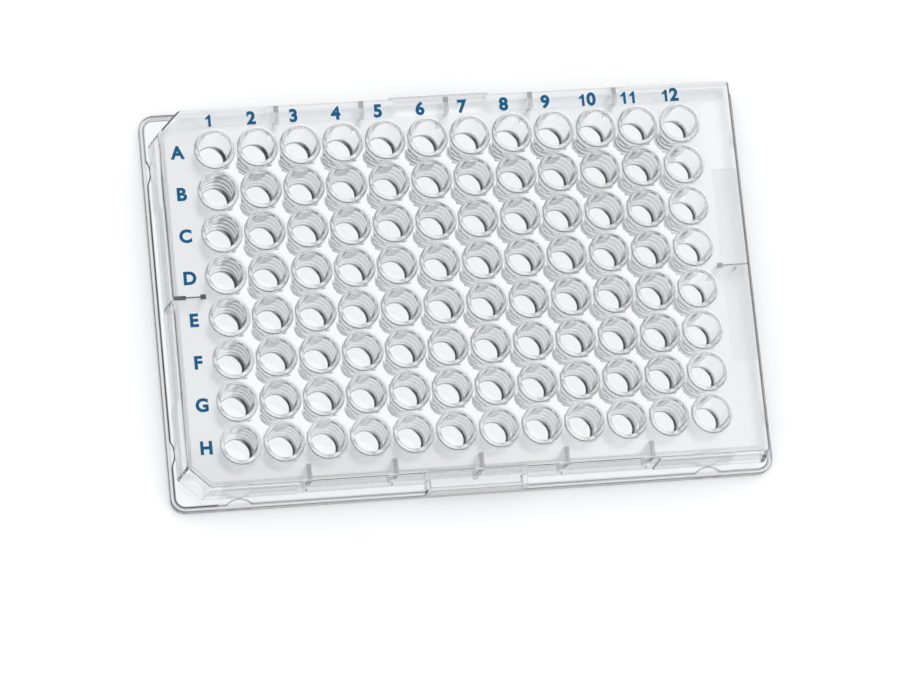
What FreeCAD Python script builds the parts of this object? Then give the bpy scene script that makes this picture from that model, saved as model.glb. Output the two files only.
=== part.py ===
import FreeCAD, Part
import os
import Sketcher
from FreeCAD import Vector

# A clear well plate, moulded in one piece. A skirt on a low flange carries a thin deck, and the deck carries a
# grid of separate round wells whose rims stand a little above it. The origin is at the middle of the underside,
# X runs along the columns from the two cut corners to the last column, Y towards the first row, and Z up.

SIZES = [
    # grid and footprint
    ("columns", "12", "wells along X"),
    ("rows", "8", "wells along Y"),
    ("pitch", "9", "from one well to the next, both ways"),
    ("end_margin", "14.38", "end of the plate to the nearest column"),
    ("side_margin", "11.24", "side of the plate to the nearest row"),
    ("footprint_radius", "3.18", "corners of the flange"),
    ("plate_height", "14.35", "underside to the top of the rims"),
    # flange around the foot
    ("flange_height", "2.4", "underside to the top of the flange"),
    ("lip", "0.95", "thickness of the flange's upright lip"),
    ("shelf", "1.1", "thickness of the flange's flat top"),
    ("grip_length", "21.4", "raised middle of the flange at each long side"),
    ("grip_height", "6.1", "underside to the top of that raised middle"),
    # skirt between flange and deck
    ("end_shelf", "1.65", "width of the flange's top at the ends"),
    ("side_shelf", "2.2", "width of the flange's top at the long sides"),
    ("end_lean", "1.25", "how far an end wall leans in on its way up"),
    ("side_lean", "0.35", "how far a long wall leans in on its way up"),
    ("corner_cut", "4.5", "leg of the cut at the two corners beside the first column"),
    ("corner_radius", "0.8", "the two corners that are not cut"),
    ("wall", "0.95", "thickness of the skirt"),
    ("panel_step", "0.3", "how far the middle of each wall is set back"),
    ("side_panel", "75.8", "length of that middle at a long side"),
    ("end_panel", "41.6", "length of that middle at an end, and of the label field"),
    ("panel_edge", "1.4", "deck top to the upper edge of the set-back middle"),
    # deck
    ("deck", "1.2", "thickness of the deck"),
    ("deck_radius", "0.45", "edge of the deck"),
    ("field_width", "5.2", "label field beyond the last column"),
    ("field_depth", "0.1", "depth of the label field"),
    # wells
    ("mouth", "6.96", "inner diameter at the rim"),
    ("bottom", "6.4", "inner diameter at the floor"),
    ("well_depth", "10.9", "rim to floor"),
    ("floor_bevel", "0.25", "bevel between bore and floor"),
    ("mouth_bevel", "0.15", "bevel at the inner edge of the rim"),
    ("rim_rise", "0.5", "deck to the top of the rim"),
    ("rim_width", "0.82", "thickness of the rim"),
    ("rim_bevel", "0.25", "bevel at the outer edge of the rim"),
    ("cup_wall", "0.65", "thickness of a well's wall below the deck"),
    ("cup_floor", "1.2", "thickness of a well's floor"),
    ("cup_bevel", "0.45", "bevel around the foot of a well"),
    # ribs under the deck, from the skirt towards the wells
    ("rib", "1", "thickness of a long side's rib"),
    ("rib_gap", "5.1", "outer row to the free end of a long side's rib"),
    ("end_rib", "0.45", "thickness of the rib at each end of the plate"),
    ("end_post", "1.2", "diameter of the post at the free end of that rib"),
    ("end_post_gap", "5.2", "outer column to the middle of the post"),
    ("end_root", "1", "thickness of the rib where it meets the skirt"),
    ("end_root_gap", "8.7", "outer column to that thicker stretch"),
    # lugs inside the lip, each a segment of a circle
    ("lug_length", "5.2", "length along the lip"),
    ("lug_depth", "1.1", "how far a lug stands in from the lip"),
    ("end_lug", "12.5", "corner of the plate to the middle of an end's lug"),
    ("side_lug", "14.2", "corner of the plate to the middle of a long side's lug"),
]

# Lengths that follow from the sizes, as expressions.
OUTER_COLUMN = "(Sizes.columns - 1) * Sizes.pitch / 2"
OUTER_ROW = "(Sizes.rows - 1) * Sizes.pitch / 2"
HALF_LENGTH = f"({OUTER_COLUMN} + Sizes.end_margin)"
HALF_WIDTH = f"({OUTER_ROW} + Sizes.side_margin)"
FOOT_X = f"({HALF_LENGTH} - Sizes.end_shelf)"
FOOT_Y = f"({HALF_WIDTH} - Sizes.side_shelf)"
HEAD_X = f"({FOOT_X} - Sizes.end_lean)"
HEAD_Y = f"({FOOT_Y} - Sizes.side_lean)"
DECK_TOP = "(Sizes.plate_height - Sizes.rim_rise)"
DECK_UNDERSIDE = f"({DECK_TOP} - Sizes.deck)"
SHELF_UNDERSIDE = "(Sizes.flange_height - Sizes.shelf)"
INNER_CUT = "(Sizes.corner_cut - Sizes.wall * (2 - sqrt(2)))"
PANEL_TOP = f"({DECK_TOP} - Sizes.panel_edge)"
WELL_FLOOR = "(Sizes.plate_height - Sizes.well_depth)"

doc = FreeCAD.newDocument("WellPlate")
sheet = doc.addObject("Spreadsheet::Sheet", "Sizes")
for row, (alias, value, meaning) in enumerate(SIZES, start=1):
    sheet.set(f"A{row}", meaning)
    sheet.set(f"B{row}", value)
    sheet.setAlias(f"B{row}", alias)
doc.recompute()

plate = doc.addObject("PartDesign::Body", "well_plate")
plate.Label = "well_plate"
plate.Placement = FreeCAD.Placement()


def length_of(expression):
    """The value of an expression now, so that a sketch is drawn near its final shape."""
    return float(sheet.evalExpression(expression))


def origin_plane(role):
    return next(feature for feature in plate.Origin.OriginFeatures if feature.Role == role)


def new_sketch(name, role="XY_Plane", shift_x="0", shift_y="0", height="0"):
    """A sketch on one of the body's own planes. The shifts are along the sketch's own axes."""
    sketch = plate.newObject("Sketcher::SketchObject", name)
    sketch.AttachmentSupport = [(origin_plane(role), "")]
    sketch.MapMode = "FlatFace"
    for axis, shift in (("x", shift_x), ("y", shift_y), ("z", height)):
        if shift != "0":
            sketch.setExpression(f"AttachmentOffset.Base.{axis}", shift)
    return sketch


def bind(sketch, constraint, expression):
    index = sketch.addConstraint(constraint)
    sketch.setExpression(f"Constraints[{index}]", expression)


def tie_point(sketch, line, end, x, y):
    """Ties one end of a line or arc to expressions for its distance from the sketch's origin."""
    for kind, axis, expression in (("DistanceX", -2, x), ("DistanceY", -1, y)):
        distance = length_of(expression)
        if abs(distance) < 1e-9:
            sketch.addConstraint(Sketcher.Constraint("PointOnObject", line, end, axis))
        else:
            bind(sketch, Sketcher.Constraint(kind, -1, 1, line, end, distance), expression)


def outline(sketch, corners):
    """A closed outline of straight lines through corners, each a pair of expressions."""
    spots = [Vector(length_of(x), length_of(y), 0) for x, y in corners]
    first = len(sketch.Geometry)
    count = len(spots)
    for number, spot in enumerate(spots):
        sketch.addGeometry(Part.LineSegment(spot, spots[(number + 1) % count]))
    for number, (x, y) in enumerate(corners):
        following = first + (number + 1) % count
        sketch.addConstraint(Sketcher.Constraint("Coincident", first + number, 2, following, 1))
        tie_point(sketch, first + number, 1, x, y)


def rectangle(sketch, low_x, high_x, low_y, high_y):
    outline(sketch, [(low_x, low_y), (high_x, low_y), (high_x, high_y), (low_x, high_y)])


def skirt_outline(sketch, half_x, half_y, cut):
    """A rectangle with its two corners on the low X side cut off at 45 degrees."""
    outline(sketch, [
        (f"{cut} - {half_x}", f"-{half_y}"),
        (half_x, f"-{half_y}"),
        (half_x, half_y),
        (f"{cut} - {half_x}", half_y),
        (f"-{half_x}", f"{half_y} - {cut}"),
        (f"-{half_x}", f"{cut} - {half_y}"),
    ])


def circle(sketch, x, y, radius):
    centre = Vector(length_of(x), length_of(y), 0)
    index = sketch.addGeometry(Part.Circle(centre, Vector(0, 0, 1), length_of(radius)))
    bind(sketch, Sketcher.Constraint("Radius", index, length_of(radius)), radius)
    tie_point(sketch, index, 3, x, y)


def add(kind, name, profile, **lengths):
    """A feature on a sketch. Each keyword is one of its properties and the expression that drives it."""
    feature = plate.newObject("PartDesign::" + kind, name)
    feature.Profile = profile
    for property_name, expression in lengths.items():
        feature.setExpression(property_name, expression)
    return feature


def made(feature):
    """Recomputes, and turns a pocket round if it points away from the solid and so removes nothing."""
    doc.recompute()
    if feature.TypeId == "PartDesign::Pocket":
        before = feature.BaseFeature.Shape.Volume
        if feature.Shape.Volume > before - 1e-6:
            feature.Reversed = not feature.Reversed
            doc.recompute()
        if feature.Shape.Volume > before - 1e-6:
            raise RuntimeError(f"{feature.Name} removes nothing")
    return feature


def both_ways(feature):
    feature.Midplane = True
    return feature


def round_edges(name, base, radius, chosen):
    """Rounds the edges of base for which chosen(edge) is true."""
    edges = [f"Edge{number}" for number, edge in enumerate(base.Shape.Edges, start=1) if chosen(edge)]
    feature = plate.newObject("PartDesign::Fillet", name)
    feature.Base = (base, edges)
    feature.setExpression("Radius", radius)
    return made(feature)


def is_upright(edge):
    box = edge.BoundBox
    return box.ZLength > max(box.XLength, box.YLength)


def is_at(edge, height):
    box = edge.BoundBox
    return abs(box.ZMin - height) < 1e-4 and abs(box.ZMax - height) < 1e-4


def repeat(name, feature, axes, step_x, count_x, step_y="0", count_y="1"):
    """Repeats a feature along the two axes of a sketch that lies level."""
    pattern = plate.newObject("PartDesign::LinearPattern", name)
    pattern.Originals = [feature]
    pattern.Direction = (axes, ["H_Axis"])
    pattern.setExpression("Length", f"{step_x} * ({count_x} - 1)")
    pattern.setExpression("Occurrences", count_x)
    if count_y != "1":
        pattern.Direction2 = (axes, ["V_Axis"])
        pattern.setExpression("Length2", f"{step_y} * ({count_y} - 1)")
        pattern.setExpression("Occurrences2", count_y)
    plate.Tip = pattern
    return made(pattern)


def make_flange():
    """The footprint as a solid block with round corners. Its inside is taken out later."""
    footprint = new_sketch("footprint")
    rectangle(footprint, f"-{HALF_LENGTH}", HALF_LENGTH, f"-{HALF_WIDTH}", HALF_WIDTH)
    block = made(add("Pad", "flange", footprint, Length="Sizes.flange_height"))
    round_edges("flange_corners", block, "Sizes.footprint_radius", is_upright)


def make_skirt():
    """The solid block above the flange: its walls lean in, and its deck edge is rounded."""
    foot = new_sketch("skirt_foot", height="Sizes.flange_height")
    skirt_outline(foot, FOOT_X, FOOT_Y, "Sizes.corner_cut")
    head = new_sketch("skirt_head", height=DECK_TOP)
    skirt_outline(head, HEAD_X, HEAD_Y, "Sizes.corner_cut")
    block = add("AdditiveLoft", "skirt", foot)
    block.Sections = [head]
    block.Ruled = True
    made(block)
    uncut = length_of(f"{HEAD_X} - Sizes.corner_cut")
    rounded = round_edges(
        "skirt_corners", block, "Sizes.corner_radius",
        lambda edge: is_upright(edge) and edge.BoundBox.XMin > uncut and edge.BoundBox.ZMax > length_of(DECK_UNDERSIDE),
    )
    round_edges("deck_edge", rounded, "Sizes.deck_radius", lambda edge: is_at(edge, length_of(DECK_TOP)))


def set_back(name, role, foot, head, panel_length):
    """Cuts a shallow panel out of two opposite walls, parallel to their leaning faces."""
    section = new_sketch(name + "_section", role)
    rise = f"({PANEL_TOP} - Sizes.flange_height) / ({DECK_TOP} - Sizes.flange_height)"
    face_at_top = f"({foot} - ({foot} - {head}) * {rise})"
    for side in ("-", ""):
        outline(section, [
            (f"{side}({foot} - Sizes.panel_step)", "Sizes.flange_height"),
            (f"{side}{HALF_LENGTH}", "Sizes.flange_height"),
            (f"{side}{HALF_LENGTH}", PANEL_TOP),
            (f"{side}({face_at_top} - Sizes.panel_step)", PANEL_TOP),
        ])
    made(both_ways(add("Pocket", name, section, Length=panel_length)))


def make_grips():
    """Raises the flange in the middle of both long sides."""
    plan = new_sketch("grip_plan")
    for side in ("-", ""):
        rectangle(plan, "-Sizes.grip_length / 2", "Sizes.grip_length / 2",
                  f"{side}({FOOT_Y} - Sizes.wall / 2)", f"{side}{HALF_WIDTH}")
    made(add("Pad", "grips", plan, Length="Sizes.grip_height"))


def make_inside():
    """Takes out the inside: under the deck, under the flange's top and under the raised grips."""
    foot = new_sketch("inside_foot", height=SHELF_UNDERSIDE)
    skirt_outline(foot, f"({FOOT_X} - Sizes.wall)", f"({FOOT_Y} - Sizes.wall)", INNER_CUT)
    head = new_sketch("inside_head", height=DECK_UNDERSIDE)
    skirt_outline(head, f"({HEAD_X} - Sizes.wall)", f"({HEAD_Y} - Sizes.wall)", INNER_CUT)
    hollow = add("SubtractiveLoft", "inside", foot)
    hollow.Sections = [head]
    hollow.Ruled = True
    made(hollow)

    under_flange = new_sketch("under_flange_plan")
    rectangle(under_flange, f"Sizes.lip - {HALF_LENGTH}", f"{HALF_LENGTH} - Sizes.lip",
              f"Sizes.lip - {HALF_WIDTH}", f"{HALF_WIDTH} - Sizes.lip")
    groove = made(add("Pocket", "under_flange", under_flange, Length=SHELF_UNDERSIDE))
    inner_x = length_of(f"{HALF_LENGTH} - Sizes.lip")
    round_edges(
        "under_flange_corners", groove, "Sizes.footprint_radius - Sizes.lip",
        lambda edge: is_upright(edge) and abs(abs(edge.BoundBox.XMin) - inner_x) < 1e-4,
    )

    under_grips = new_sketch("under_grips_plan")
    rectangle(under_grips, "Sizes.lip - Sizes.grip_length / 2", "Sizes.grip_length / 2 - Sizes.lip",
              f"Sizes.lip - {HALF_WIDTH}", f"{HALF_WIDTH} - Sizes.lip")
    made(add("Pocket", "under_grips", under_grips, Length="Sizes.grip_height - Sizes.shelf"))


def make_side_ribs():
    """Upright ribs from both long walls, one between every second pair of columns."""
    section = new_sketch("side_rib_section", "YZ_Plane", height=f"1.5 * Sizes.pitch - {OUTER_COLUMN}")
    for side in ("-", ""):
        outline(section, [
            (f"{side}({OUTER_ROW} + Sizes.rib_gap)", "Sizes.flange_height"),
            (f"{side}({FOOT_Y} - Sizes.wall / 2)", "Sizes.flange_height"),
            (f"{side}({HEAD_Y} - Sizes.wall / 2)", f"{DECK_UNDERSIDE} + Sizes.deck / 2"),
            (f"{side}({OUTER_ROW} + Sizes.rib_gap)", f"{DECK_UNDERSIDE} + Sizes.deck / 2"),
        ])
    rib = made(both_ways(add("Pad", "side_rib", section, Length="Sizes.rib")))
    repeat("side_ribs", rib, doc.getObject("footprint"), "2 * Sizes.pitch", "floor(Sizes.columns / 2 - 0.5)")


def make_end_ribs():
    """A thin rib at each end, with a post at its free end and a thicker root at the wall."""
    for name, start, thickness in (
        ("end_rib", f"({OUTER_COLUMN} + Sizes.end_post_gap)", "Sizes.end_rib"),
        ("end_root", f"({OUTER_COLUMN} + Sizes.end_root_gap)", "Sizes.end_root"),
    ):
        section = new_sketch(name + "_section", "XZ_Plane")
        for side in ("-", ""):
            outline(section, [
                (side + start, "Sizes.flange_height"),
                (f"{side}({FOOT_X} - Sizes.wall / 2)", "Sizes.flange_height"),
                (f"{side}({HEAD_X} - Sizes.wall / 2)", f"{DECK_UNDERSIDE} + Sizes.deck / 2"),
                (side + start, f"{DECK_UNDERSIDE} + Sizes.deck / 2"),
            ])
        made(both_ways(add("Pad", name, section, Length=thickness)))
    posts = new_sketch("post_plan", height="Sizes.flange_height")
    for side in ("-", ""):
        circle(posts, f"{side}({OUTER_COLUMN} + Sizes.end_post_gap)", "0", "Sizes.end_post / 2")
    made(add("Pad", "posts", posts, Length=f"{DECK_UNDERSIDE} + Sizes.deck / 2 - Sizes.flange_height"))


def lug_outline(sketch, middle, lip_face, inward, along_x):
    """One lug: an arc that bulges inward from the lip's face, closed inside the lip."""
    def spot(along, across):
        return (along, across) if along_x else (across, along)

    low = f"({middle} - Sizes.lug_length / 2)"
    high = f"({middle} + Sizes.lug_length / 2)"
    inside_lip = f"({lip_face} - {inward} * Sizes.lip / 2)"
    crown = f"({lip_face} + {inward} * Sizes.lug_depth)"
    corners = [spot(low, lip_face), spot(low, inside_lip), spot(high, inside_lip), spot(high, lip_face)]
    spots = [Vector(length_of(x), length_of(y), 0) for x, y in corners]
    top = Vector(*[length_of(part) for part in spot(middle, crown)], 0)
    first = len(sketch.Geometry)
    for start, end in zip(spots, spots[1:]):
        sketch.addGeometry(Part.LineSegment(start, end))
    arc = sketch.addGeometry(Part.Arc(spots[3], top, spots[0]))
    for number, (x, y) in enumerate(corners[:3]):
        tie_point(sketch, first + number, 1, x, y)
        if number < 2:
            sketch.addConstraint(Sketcher.Constraint("Coincident", first + number, 2, first + number + 1, 1))
    tie_point(sketch, first + 2, 2, *corners[3])
    begins_high = sketch.getPoint(arc, 1).distanceToPoint(spots[3]) < 1e-6
    sketch.addConstraint(Sketcher.Constraint("Coincident", arc, 1 if begins_high else 2, first + 2, 2))
    sketch.addConstraint(Sketcher.Constraint("Coincident", arc, 2 if begins_high else 1, first, 1))
    radius = "((Sizes.lug_length / 2) ^ 2 + Sizes.lug_depth ^ 2) / (2 * Sizes.lug_depth)"
    bind(sketch, Sketcher.Constraint("Radius", arc, length_of(radius)), radius)


def make_lugs():
    """Two lugs at each side of the plate, under the flange's top."""
    plan = new_sketch("lug_plan")
    for side in ("-", ""):
        for end in ("-", ""):
            inward = "1" if side == "-" else "-1"
            lug_outline(plan, f"{end}({HALF_LENGTH} - Sizes.side_lug)", f"{side}({HALF_WIDTH} - Sizes.lip)", inward, True)
            lug_outline(plan, f"{end}({HALF_WIDTH} - Sizes.end_lug)", f"{side}({HALF_LENGTH} - Sizes.lip)", inward, False)
    made(add("Pad", "lugs", plan, Length=f"{SHELF_UNDERSIDE} + Sizes.shelf / 2"))


def make_label_field():
    """A shallow field in the deck beyond the last column, as long as the panel in the wall below it."""
    plan = new_sketch("label_field_plan", height=f"{DECK_TOP} - Sizes.field_depth")
    rectangle(plan, f"{HEAD_X} - Sizes.deck_radius - Sizes.field_width", f"{HEAD_X} - Sizes.deck_radius",
              "-Sizes.end_panel / 2", "Sizes.end_panel / 2")
    made(add("Pocket", "label_field", plan, Length="Sizes.field_depth"))


def make_wells():
    """Holes through the deck, then a cup with a raised rim hung in each."""
    plan = new_sketch("hole_plan", height=DECK_UNDERSIDE)
    circle(plan, f"-({OUTER_COLUMN})", f"-({OUTER_ROW})", "(Sizes.mouth + Sizes.cup_wall) / 2")
    hole = made(add("Pocket", "hole", plan, Length="Sizes.deck"))
    grid = ("Sizes.pitch", "Sizes.columns", "Sizes.pitch", "Sizes.rows")
    repeat("holes", hole, plan, *grid)

    section = new_sketch("cup_section", "XZ_Plane", f"-({OUTER_COLUMN})", "0", OUTER_ROW)
    foot = f"({WELL_FLOOR} - Sizes.cup_floor)"
    foot_radius = "(Sizes.bottom / 2 + Sizes.cup_wall)"
    rim_radius = "(Sizes.mouth / 2 + Sizes.rim_width)"
    outline(section, [
        ("0", foot),
        (f"{foot_radius} - Sizes.cup_bevel", foot),
        (foot_radius, f"{foot} + Sizes.cup_bevel"),
        ("Sizes.mouth / 2 + Sizes.cup_wall", f"{DECK_TOP} - Sizes.deck / 2"),
        (rim_radius, f"{DECK_TOP} - Sizes.deck / 2"),
        (rim_radius, "Sizes.plate_height - Sizes.rim_bevel"),
        (f"{rim_radius} - Sizes.rim_bevel", "Sizes.plate_height"),
        ("Sizes.mouth / 2 + Sizes.mouth_bevel", "Sizes.plate_height"),
        ("Sizes.mouth / 2", "Sizes.plate_height - Sizes.mouth_bevel"),
        ("Sizes.bottom / 2", f"{WELL_FLOOR} + Sizes.floor_bevel"),
        ("Sizes.bottom / 2 - Sizes.floor_bevel", WELL_FLOOR),
        ("0", WELL_FLOOR),
    ])
    cup = add("Revolution", "cup", section)
    cup.ReferenceAxis = (section, ["V_Axis"])
    cup.Angle = 360
    made(cup)
    repeat("cups", cup, plan, *grid)


def check_and_write():
    for thing in doc.Objects:
        if "Invalid" in thing.State or "Error" in thing.State:
            raise RuntimeError(f"{thing.Name} failed: {thing.State}")
    shape = plate.Shape
    if shape.isNull() or not shape.isValid() or len(shape.Solids) != 1:
        raise RuntimeError("the plate is not one valid solid")
    os.makedirs("parts", exist_ok=True)
    shape.exportStep(f"parts/{plate.Label}.step")
    box = shape.BoundBox
    print(f"{plate.Label}: {box.XLength:.2f} x {box.YLength:.2f} x {box.ZLength:.2f} mm, "
          f"{shape.Volume / 1000:.2f} cm3, {len(shape.Faces)} faces")


make_flange()
make_skirt()
set_back("side_panels", "YZ_Plane", FOOT_Y, HEAD_Y, "Sizes.side_panel")
set_back("end_panels", "XZ_Plane", FOOT_X, HEAD_X, "Sizes.end_panel")
make_grips()
make_inside()
make_side_ribs()
make_end_ribs()
make_lugs()
make_label_field()
make_wells()
check_and_write()
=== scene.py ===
import math

import bmesh
import bpy
from mathutils import Matrix, Vector, geometry


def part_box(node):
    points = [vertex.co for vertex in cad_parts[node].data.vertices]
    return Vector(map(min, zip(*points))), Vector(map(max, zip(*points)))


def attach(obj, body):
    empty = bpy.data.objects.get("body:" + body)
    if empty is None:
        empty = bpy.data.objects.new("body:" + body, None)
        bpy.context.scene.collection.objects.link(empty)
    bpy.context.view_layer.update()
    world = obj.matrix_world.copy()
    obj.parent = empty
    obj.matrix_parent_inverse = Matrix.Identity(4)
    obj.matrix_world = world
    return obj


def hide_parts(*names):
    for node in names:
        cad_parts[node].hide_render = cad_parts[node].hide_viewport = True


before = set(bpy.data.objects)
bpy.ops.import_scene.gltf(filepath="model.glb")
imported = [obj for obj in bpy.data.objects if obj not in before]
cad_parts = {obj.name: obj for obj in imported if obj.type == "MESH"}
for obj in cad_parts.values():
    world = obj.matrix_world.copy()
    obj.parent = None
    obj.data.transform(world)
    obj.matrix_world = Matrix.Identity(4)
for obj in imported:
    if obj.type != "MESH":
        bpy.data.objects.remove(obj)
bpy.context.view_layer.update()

mm = 0.001
plateLow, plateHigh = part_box("well_plate")
halfLength = (plateHigh.x - plateLow.x) / 2 / mm
halfWidth = (plateHigh.y - plateLow.y) / 2 / mm
rimTop = (plateHigh.z - plateLow.z) / mm
print("plate is", round(2 * halfLength, 2), "by", round(2 * halfWidth, 2), "by", round(rimTop, 2), "mm")


wells = {  # lengths are in mm
    "columns": 12,
    "rows": 8,
    "pitch": 9.0,
    "segments": 40,
    "mouthRadius": 3.48,
    "bottomRadius": 3.2,
    "depth": 10.9,
    "floorRound": 0.2,
    "mouthRound": 0.1,
    "rimRise": 0.5,
    "rimWidth": 0.82,
    "rimRound": 0.12,
    "rimFillet": 0.12,
    "deckThickness": 1.2,
    "cupWall": 0.65,
    "cupFloor": 1.2,
    "cupRound": 0.5,
    "cupFillet": 0.12,
    "sharp": 32,  # edges that turn by more than this stay crisp, in degrees
}

deckTop = rimTop - wells["rimRise"]
deckUnder = deckTop - wells["deckThickness"]
outerColumn = (wells["columns"] - 1) * wells["pitch"] / 2
outerRow = (wells["rows"] - 1) * wells["pitch"] / 2
fieldX = outerColumn + wells["pitch"] / 2
fieldY = outerRow + wells["pitch"] / 2


def arcPoints(centre, radius, startAngle, endAngle, steps):
    points = []
    for step in range(steps + 1):
        angle = math.radians(startAngle + (endAngle - startAngle) * step / steps)
        points.append((centre[0] + radius * math.cos(angle), centre[1] + radius * math.sin(angle)))
    return points


def upperProfile():
    # radius and height, from the deck over the rim and down to the floor of the well
    mouth, bottom = wells["mouthRadius"], wells["bottomRadius"]
    outer = mouth + wells["rimWidth"]
    floorZ = rimTop - wells["depth"]
    fillet, rim, lip, foot = wells["rimFillet"], wells["rimRound"], wells["mouthRound"], wells["floorRound"]
    points = arcPoints((outer + fillet, deckTop + fillet), fillet, 270, 180, 2)
    points += arcPoints((outer - rim, rimTop - rim), rim, 0, 90, 4)
    points += arcPoints((mouth + lip, rimTop - lip), lip, 90, 180, 3)
    points += arcPoints((bottom - foot, floorZ + foot), foot, 0, -90, 3)
    return points


def lowerProfile():
    # the outside of the cup, from the underside of the deck to the middle of the foot
    head = wells["mouthRadius"] + wells["cupWall"]
    foot = wells["bottomRadius"] + wells["cupWall"]
    footZ = rimTop - wells["depth"] - wells["cupFloor"]
    fillet, corner = wells["cupFillet"], wells["cupRound"]
    points = arcPoints((head + fillet, deckUnder - fillet), fillet, 90, 180, 2)
    points += arcPoints((foot - corner, footZ + corner), corner, 0, -90, 4)
    return points


def addSheet(bm, profile, sheetZ):
    # a square tile of deck, open in the middle, with the turned profile hung in it, for every well
    count = wells["segments"]
    half = wells["pitch"] / 2
    turns = [(math.cos(2 * math.pi * k / count), math.sin(2 * math.pi * k / count)) for k in range(count)]
    for column in range(wells["columns"]):
        for row in range(wells["rows"]):
            x = column * wells["pitch"] - outerColumn
            y = row * wells["pitch"] - outerRow
            rings = []
            for radius, z in profile:
                places = [(mm * (x + radius * c), mm * (y + radius * s), mm * z) for c, s in turns]
                rings.append([bm.verts.new(place) for place in places])
            for ring, following in zip(rings, rings[1:]):
                for k in range(count):
                    after = (k + 1) % count
                    bm.faces.new((ring[k], ring[after], following[after], following[k]))
            middle = bm.verts.new((mm * x, mm * y, mm * profile[-1][1]))
            last = rings[-1]
            for k in range(count):
                bm.faces.new((last[k], last[(k + 1) % count], middle))
            signs = ((1, 1), (-1, 1), (-1, -1), (1, -1))
            places = [(mm * (x + half * u), mm * (y + half * v), mm * sheetZ) for u, v in signs]
            corners = [bm.verts.new(place) for place in places]
            quarter = count // 4
            for k in range(count):
                bm.faces.new((rings[0][(k + 1) % count], rings[0][k], corners[k // quarter]))
            for q in range(4):
                bm.faces.new((rings[0][q * quarter], corners[q - 1], corners[q]))


skirt = {
    "endShelf": 1.65,
    "sideShelf": 2.2,
    "endLean": 1.25,
    "sideLean": 0.35,
    "cut": 4.5,
    "squareCornerRound": 0.8,
    "cutCornerRound": 1.1,
    "wall": 0.95,
    "deckEdge": 0.45,
    "footFillet": 0.3,
    "innerFillet": 0.3,
    "panelStep": 0.3,
    "sidePanel": 75.8,
    "endPanel": 41.6,
    "endPanelFade": 1.0,
    "panelEdge": 1.4,
    "leastRound": 0.05,
    "cornerSteps": 4,
}

flange = {
    "height": 2.4,
    "round": 3.18,
    "lip": 0.95,
    "shelf": 1.1,
    "edge": 0.3,
    "footEdge": 0.12,
    "gripLength": 21.4,
    "gripHeight": 6.1,
    "slope": 0.06,
}

shelfUnder = flange["height"] - flange["shelf"]
gripLift = flange["gripHeight"] - flange["height"]
panelTop = deckTop - skirt["panelEdge"]


def outlineCorners(halfX, halfY, cut, square, small):
    # the four corners of an outline, anticlockwise from the front left, each as a list of points
    steps = skirt["cornerSteps"]
    corners = []
    if cut > 0:
        run = small * math.tan(math.pi / 8)
        upper = arcPoints((-halfX + small, -halfY + cut + run), small, 180, 225, steps)
        lower = arcPoints((-halfX + cut + run, -halfY + small), small, 225, 270, steps)
        corners.append(upper + lower)
    else:
        corners.append(arcPoints((-halfX + square, -halfY + square), square, 180, 270, 2 * steps + 1))
    corners.append(arcPoints((halfX - square, -halfY + square), square, 270, 360, 2 * steps + 1))
    corners.append([(x, -y) for x, y in reversed(corners[1])])
    corners.append([(x, -y) for x, y in reversed(corners[0])])
    return corners


def outlineRing(shape, inset, z, gripHalf=None, lift=0.0, panel=0.0):
    # shape is (halfX, halfY, cut, square corner, small corner), moved inwards by inset. Points on the long
    # sides inside gripHalf are lifted, and those inside the set-back panels move inwards by panel.
    halfX, halfY, cut, square, small = shape
    if cut > 0:
        cut -= inset * (2 - math.sqrt(2))
    halfX, halfY = halfX - inset, halfY - inset
    rounds = [max(corner - inset, skirt["leastRound"]) for corner in (square, small)]
    corners = outlineCorners(halfX, halfY, cut, *rounds)
    steep, soft = flange["slope"], skirt["endPanelFade"]
    gripHalf = gripHalf or flange["gripLength"] / 2
    sidePanel, endPanel = skirt["sidePanel"] / 2, skirt["endPanel"] / 2
    leanOut = lift * skirt["sideLean"] / (deckTop - flange["height"]) if panel or cut > 0 else 0.0

    front = [
        (-sidePanel - steep, 0, 0), (-sidePanel + steep, panel, 0),
        (-gripHalf - steep, panel, 0), (-gripHalf + steep, panel + leanOut, lift),
        (gripHalf - steep, panel + leanOut, lift), (gripHalf + steep, panel, 0),
        (sidePanel - steep, panel, 0), (sidePanel + steep, 0, 0),
    ]
    end = [
        (-endPanel - soft, 0), (-endPanel + soft, panel),
        (endPanel - soft, panel), (endPanel + soft, 0),
    ]
    points = [(x, y, z) for x, y in corners[0]]
    points += [(x, -halfY + inward, z + up) for x, inward, up in front]
    points += [(x, y, z) for x, y in corners[1]]
    points += [(halfX - inward, y, z) for y, inward in end]
    points += [(x, y, z) for x, y in corners[2]]
    points += [(x, halfY - inward, z + up) for x, inward, up in reversed(front)]
    points += [(x, y, z) for x, y in corners[3]]
    points += [(-halfX + inward, y, z) for y, inward in reversed(end)]
    return points


def wallShape(z):
    # the outside of the wall at a height, between the top of the flange and the deck
    share = (z - flange["height"]) / (deckTop - flange["height"])
    return (
        halfLength - skirt["endShelf"] - skirt["endLean"] * share,
        halfWidth - skirt["sideShelf"] - skirt["sideLean"] * share,
        skirt["cut"],
        skirt["squareCornerRound"],
        skirt["cutCornerRound"],
    )


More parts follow.
